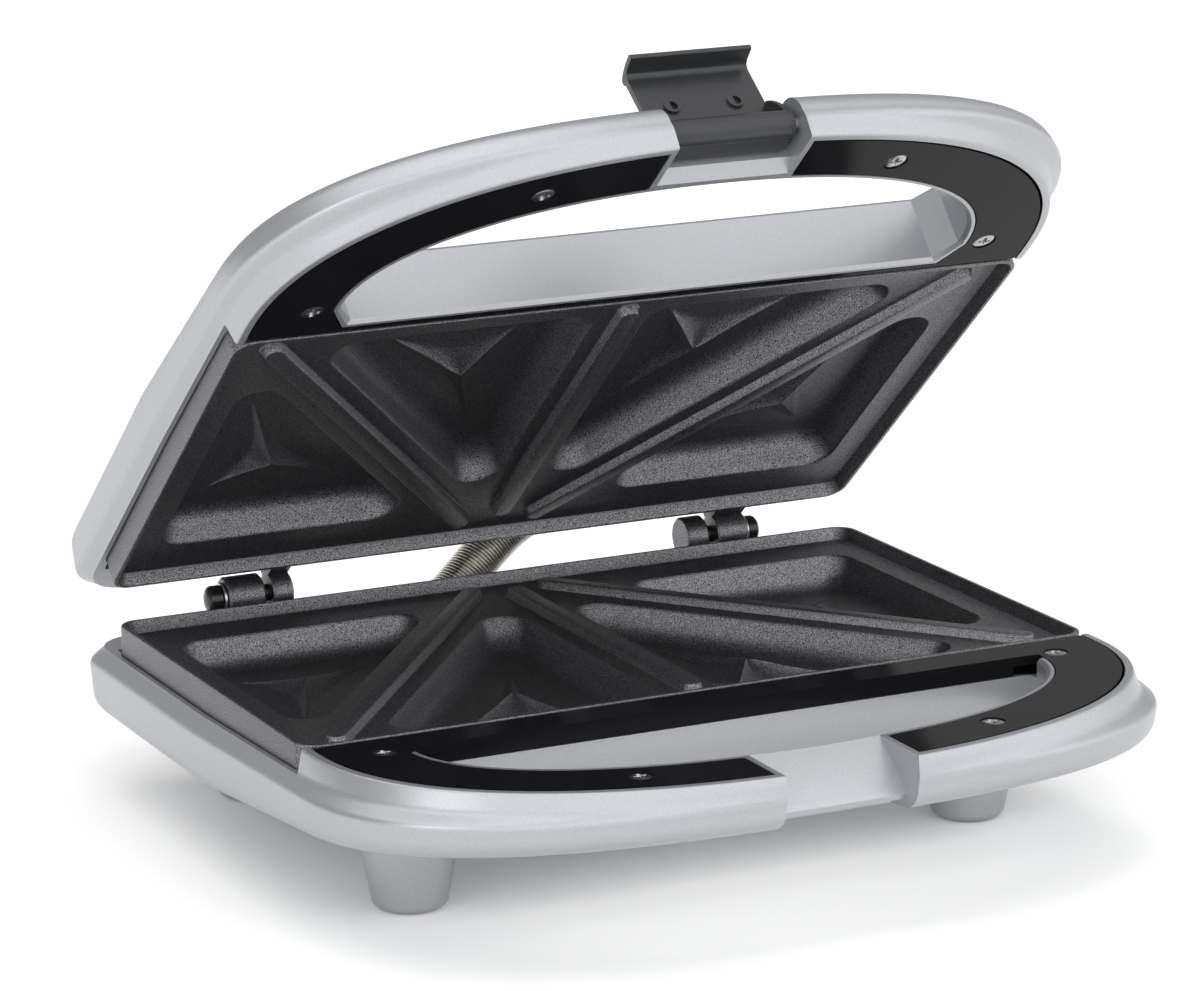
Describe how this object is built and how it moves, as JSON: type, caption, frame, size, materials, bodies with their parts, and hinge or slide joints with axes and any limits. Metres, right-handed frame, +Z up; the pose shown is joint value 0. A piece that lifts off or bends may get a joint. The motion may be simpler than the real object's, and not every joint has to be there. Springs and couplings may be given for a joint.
{
  "type": "sandwich toaster",
  "caption": "Hinged-lid sandwich toaster with non-stick plates for triangular pockets, finger loops, a flip-over latch and a ribbed steel conduit between its halves.",
  "frame": {"origin": "middle of the footprint, on the table, with the lid open as in the picture", "axes": "+X to the toaster's right seen from its handle, +Y from the handle to the hinges, +Z up"},
  "size_m": [0.24, 0.2467, 0.2164],
  "materials": {
    "silver_shell": "silver metallic paint on moulded plastic, satin",
    "nonstick_plate": "cast aluminium with a dark non-stick coat full of fine bright flecks",
    "black_trim": "black plastic, glossy",
    "grey_latch": "dark grey plastic, fine matt grain",
    "steel": "zinc-plated steel",
    "conduit_steel": "polished stainless steel, ribbed",
    "black_pin": "black oxide steel",
    "heater_sheath": "dull olive-grey oxidised sheath",
    "reflector_sheet": "bright rolled sheet",
    "ceramic": "off-white ceramic",
    "wire_sleeve": "woven glass sleeve",
    "rubber": "matt black rubber",
    "red_lens": "clear red plastic",
    "green_lens": "clear green plastic",
    "lamp_glass": "small neon lamp"
  },
  "bodies": {
    "base": {"lower_shell": "silver_shell", "foot_pads": "rubber", "lower_plate": "nonstick_plate", "lower_trim": "black_trim", "lower_trim_screws": "steel", "lower_rear_screws": "steel", "lower_element": "heater_sheath", "lower_element_clips": "steel", "lower_clip_screws": "steel", "lower_reflector": "reflector_sheet", "thermostat": "ceramic", "thermal_fuse": "steel", "terminal_block": "ceramic", "lower_wiring": "wire_sleeve", "cord_grommet": "rubber", "lower_conduit_ferrule": "steel", "hinge_pin_left": "black_pin", "hinge_pin_right": "black_pin", "hinge_washers": "steel", "flexible_conduit": "conduit_steel"},
    "lid": {"upper_shell": "silver_shell", "upper_plate": "nonstick_plate", "upper_trim": "black_trim", "upper_trim_screws": "steel", "upper_rear_screws": "steel", "upper_element": "heater_sheath", "upper_element_clips": "steel", "upper_clip_screws": "steel", "upper_reflector": "reflector_sheet", "upper_wiring": "wire_sleeve", "upper_conduit_ferrule": "steel", "power_lamp_lens": "red_lens", "ready_lamp_lens": "green_lens", "indicator_lamps": "lamp_glass", "latch_pin": "steel"},
    "latch": {"latch_flap": "grey_latch"}
  },
  "joints": [
    {"name": "lid_hinge", "type": "hinge", "parent": "base", "child": "lid", "pos_m": [0, 0.10507, 0.0485], "axis": [-1, 0, 0], "range_deg": [-40.3, 60], "deforming": ["flexible_conduit"]},
    {"name": "latch_flip", "type": "hinge", "parent": "lid", "child": "latch", "pos_m": [0, -0.05785, 0.19886], "axis": [1, 0, 0], "range_deg": [0, 192]}
  ]
}
